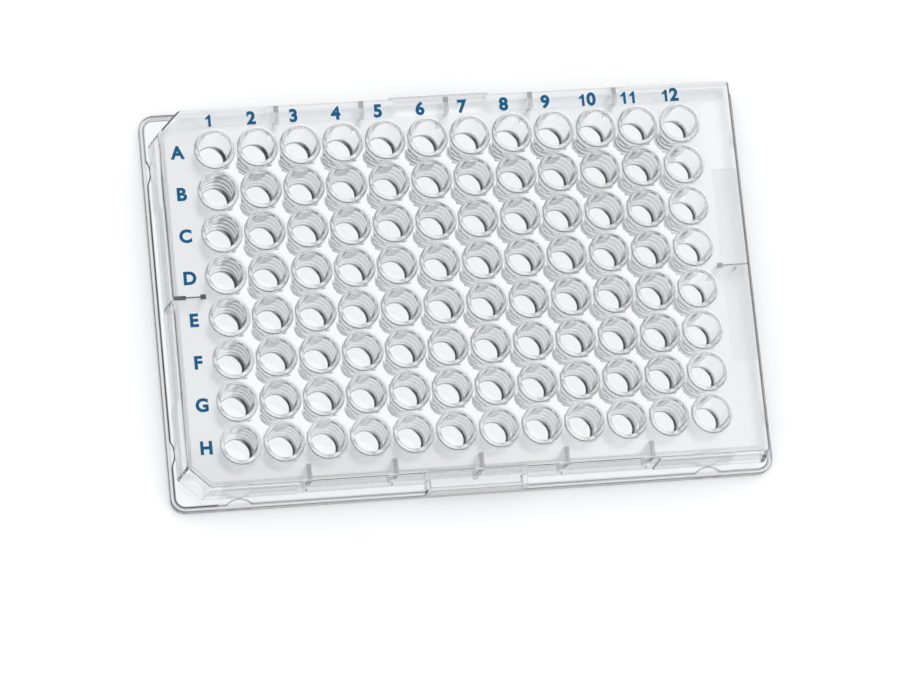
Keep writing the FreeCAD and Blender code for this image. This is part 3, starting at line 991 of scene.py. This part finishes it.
def clearPlastic(name, part):
    # the wells and the frame are one plastic, each with the tones, mostly painted shade, and haze of its
    # own surfaces
    material, tree, shader, output = newMaterial(name)
    shader.inputs["Transmission Weight"].default_value = 1
    shader.inputs["IOR"].default_value = plastic["ior"]
    where = tree.nodes.new("ShaderNodeTexCoord")
    inMm = tree.nodes.new("ShaderNodeVectorMath")
    inMm.operation = "SCALE"
    inMm.inputs["Scale"].default_value = 1 / mm
    tree.links.new(where.outputs["Object"], inMm.inputs[0])
    split = tree.nodes.new("ShaderNodeSeparateXYZ")
    tree.links.new(inMm.outputs[0], split.inputs[0])
    x, y, z = split.outputs

    if part == "wells":
        margin = slope(tree, beyondWells(tree, x, y), 0.0, plastic["hazeStart"])
        tones = wellPaintedShade(tree, x, y, z, mathNode(tree, "SUBTRACT", 1.0, margin))
        haze = product(tree, margin, level(tree, z, deckTop), plastic["hazy"])
        dull = mathNode(tree, "ADD", haze, product(tree, onRims(tree, z), plastic["rim"]))
    else:
        facing = tree.nodes.new("ShaderNodeSeparateXYZ")
        tree.links.new(where.outputs["Normal"], facing.inputs[0])
        steepness = mathNode(tree, "ABSOLUTE", facing.outputs["Z"])
        upright = slope(tree, steepness, masks["flat"], masks["upright"])
        tones = frameTones(tree, x, y, z, upright)
        haze = product(tree, level(tree, z, deckTop), plastic["hazy"])
        field = product(tree, level(tree, z, labelFloor), plastic["field"])
        dull = mathNode(tree, "ADD", haze, field)
    tint = tree.nodes.new("ShaderNodeVectorMath")
    tint.operation = "SCALE"
    tint.inputs[0].default_value = plastic["tint"]
    tree.links.new(tones, tint.inputs["Scale"])
    tree.links.new(tint.outputs[0], shader.inputs["Base Color"])

    grain = tree.nodes.new("ShaderNodeTexNoise")
    grain.inputs["Scale"].default_value = plastic["grainScale"]
    grain.inputs["Detail"].default_value = plastic["grainDetail"]
    tree.links.new(inMm.outputs[0], grain.inputs["Vector"])
    polish = mathNode(tree, "MULTIPLY_ADD", grain.outputs["Fac"], plastic["grain"], plastic["polished"])
    tree.links.new(mathNode(tree, "ADD", polish, dull), shader.inputs["Roughness"])

    # lamps reach what lies behind, as through real clear plastic
    path = tree.nodes.new("ShaderNodeLightPath")
    clear = tree.nodes.new("ShaderNodeBsdfTransparent")
    clear.inputs["Color"].default_value = (*plastic["shadow"], 1)
    mix = tree.nodes.new("ShaderNodeMixShader")
    tree.links.new(path.outputs["Is Shadow Ray"], mix.inputs[0])
    tree.links.new(shader.outputs[0], mix.inputs[1])
    tree.links.new(clear.outputs[0], mix.inputs[2])
    tree.links.new(mix.outputs[0], output.inputs["Surface"])
    return material


def blueInk():
    material, tree, shader, output = newMaterial("blueInk")
    grain = tree.nodes.new("ShaderNodeTexNoise")
    grain.inputs["Scale"].default_value = index["grainScale"]
    where = tree.nodes.new("ShaderNodeTexCoord")
    tree.links.new(where.outputs["Object"], grain.inputs["Vector"])
    ramp = tree.nodes.new("ShaderNodeValToRGB")
    for stop, position, sign in zip(ramp.color_ramp.elements, (0.3, 0.7), (-1, 1)):
        stop.position = position
        stop.color = (*[part * (1 + sign * index["variation"]) for part in index["colour"]], 1)
    tree.links.new(grain.outputs["Fac"], ramp.inputs[0])
    tree.links.new(ramp.outputs[0], shader.inputs["Base Color"])
    shader.inputs["Roughness"].default_value = index["roughness"]
    shader.inputs["Specular IOR Level"].default_value = index["specular"]
    return material


studio = {
    "floorSize": 3.0,  # in metres, as the drop is
    "floorDrop": 0.00005,
    "floorColour": (0.86, 0.865, 0.87),
    "floorRoughness": 0.9,
    "floorSpecular": 0.1,
    "glow": 0.16,
}


def paleFloor():
    material, tree, shader, output = newMaterial("paleFloor")
    shader.inputs["Base Color"].default_value = (*studio["floorColour"], 1)
    shader.inputs["Roughness"].default_value = studio["floorRoughness"]
    shader.inputs["Specular IOR Level"].default_value = studio["floorSpecular"]
    path = tree.nodes.new("ShaderNodeLightPath")
    glow = tree.nodes.new("ShaderNodeEmission")
    glow.inputs["Color"].default_value = (1, 1, 1, 1)
    strength = mathNode(tree, "MULTIPLY", path.outputs["Is Camera Ray"], studio["glow"])
    tree.links.new(strength, glow.inputs["Strength"])
    both = tree.nodes.new("ShaderNodeAddShader")
    tree.links.new(shader.outputs[0], both.inputs[0])
    tree.links.new(glow.outputs[0], both.inputs[1])
    # what the plastic and its gloss see is the light table below, which the world holds
    through = tree.nodes.new("ShaderNodeBsdfTransparent")
    seen = mathNode(tree, "MAXIMUM", path.outputs["Is Glossy Ray"], path.outputs["Is Transmission Ray"])
    mix = tree.nodes.new("ShaderNodeMixShader")
    tree.links.new(seen, mix.inputs[0])
    tree.links.new(both.outputs[0], mix.inputs[1])
    tree.links.new(through.outputs[0], mix.inputs[2])
    tree.links.new(mix.outputs[0], output.inputs["Surface"])
    return material


def makeFloor():
    bm = bmesh.new()
    bmesh.ops.create_grid(bm, x_segments=1, y_segments=1, size=studio["floorSize"] / 2)
    mesh = bpy.data.meshes.new("floor")
    bm.to_mesh(mesh)
    bm.free()
    floor = bpy.data.objects.new("floor", mesh)
    floor.location = (0, 0, plateLow.z - studio["floorDrop"])
    bpy.context.scene.collection.objects.link(floor)
    mesh.materials.append(paleFloor())


# the surroundings, as one level and soft-edged patches laid over it one after another. A patch is full
# up to the first angle from its direction, gone at the second, and brings its own brightness.
surroundings = 0.8
patches = (
    {"towards": (0, 0, -1), "full": 72, "gone": 96, "level": 1.0},
    {"towards": (0, 0, -1), "full": 20, "gone": 34, "level": 0.6},
    {"towards": (0.14, 0.196, -0.97), "full": 8, "gone": 20, "level": 1.0},
    {"towards": (0.14, -0.196, -0.97), "full": 9, "gone": 18, "level": 0.85},
    {"towards": (0, 0, -1), "full": 3, "gone": 9, "level": 1.0},
    {"towards": (0, 0, 1), "full": 25, "gone": 60, "level": 0.8},
)


def lightWorld():
    world = bpy.data.worlds.new("studio")
    bpy.context.scene.world = world
    world.use_nodes = True
    tree = world.node_tree
    where = tree.nodes.new("ShaderNodeTexCoord")
    brightness = tree.nodes.new("ShaderNodeValue").outputs[0]
    brightness.default_value = surroundings
    for patch in patches:
        along = tree.nodes.new("ShaderNodeVectorMath")
        along.operation = "DOT_PRODUCT"
        along.inputs[1].default_value = Vector(patch["towards"]).normalized()
        tree.links.new(where.outputs["Generated"], along.inputs[0])
        share = tree.nodes.new("ShaderNodeMapRange")
        share.interpolation_type = "SMOOTHSTEP"
        share.inputs["From Min"].default_value = math.radians(patch["full"])
        share.inputs["From Max"].default_value = math.radians(patch["gone"])
        share.inputs["To Min"].default_value = 1
        share.inputs["To Max"].default_value = 0
        tree.links.new(mathNode(tree, "ARCCOSINE", along.outputs["Value"]), share.inputs["Value"])
        mix = tree.nodes.new("ShaderNodeMix")
        mix.inputs["B"].default_value = patch["level"]
        tree.links.new(share.outputs["Result"], mix.inputs["Factor"])
        tree.links.new(brightness, mix.inputs["A"])
        brightness = mix.outputs["Result"]
    tree.links.new(brightness, tree.nodes["Background"].inputs["Color"])


lamps = (
    {"name": "keyLight", "place": (0.5, 0.5, 1.0), "size": 1.6, "power": 6.0},
    {"name": "fillLight", "place": (-0.8, -0.4, 0.9), "size": 1.6, "power": 4.0},
)


def addLamps():
    for lamp in lamps:
        data = bpy.data.lights.new(lamp["name"], "AREA")
        data.shape = "SQUARE"
        data.size = lamp["size"]
        data.energy = lamp["power"]
        light = bpy.data.objects.new(lamp["name"], data)
        light.location = lamp["place"]
        light.rotation_euler = (-Vector(lamp["place"])).to_track_quat("-Z", "Y").to_euler()
        bpy.context.scene.collection.objects.link(light)


camera = {  # place and aim are in metres
    "place": (-0.16352, -0.23558, 0.97819),
    "aim": (-0.00181, -0.0087, 0.0),
    "roll": 30.82,
    "lens": 193.1,
    "sensor": 36,
}


def addCamera():
    data = bpy.data.cameras.new("camera")
    data.lens = camera["lens"]
    data.sensor_width = camera["sensor"]
    data.clip_start = 0.01
    eye = bpy.data.objects.new("camera", data)
    eye.location = camera["place"]
    look = (Vector(camera["aim"]) - Vector(camera["place"])).to_track_quat("-Z", "Y")
    rolled = look.to_matrix() @ Matrix.Rotation(math.radians(camera["roll"]), 3, "Z")
    eye.rotation_euler = rolled.to_euler()
    bpy.context.scene.collection.objects.link(eye)
    bpy.context.scene.camera = eye


plate = buildPlate()
plate.data.materials.append(clearPlastic("clearWells", "wells"))
plate.data.materials.append(clearPlastic("clearFrame", "frame"))
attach(plate, "root")
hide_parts("well_plate")

printed = buildIndex()
printed.data.materials.append(blueInk())
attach(printed, "root")

makeFloor()
lightWorld()
addLamps()
addCamera()
scene = bpy.context.scene
scene.view_settings.view_transform = "Standard"
scene.cycles.max_bounces = 20
scene.cycles.transmission_bounces = 18
scene.cycles.glossy_bounces = 8
scene.cycles.transparent_max_bounces = 10
print("studio is ready")
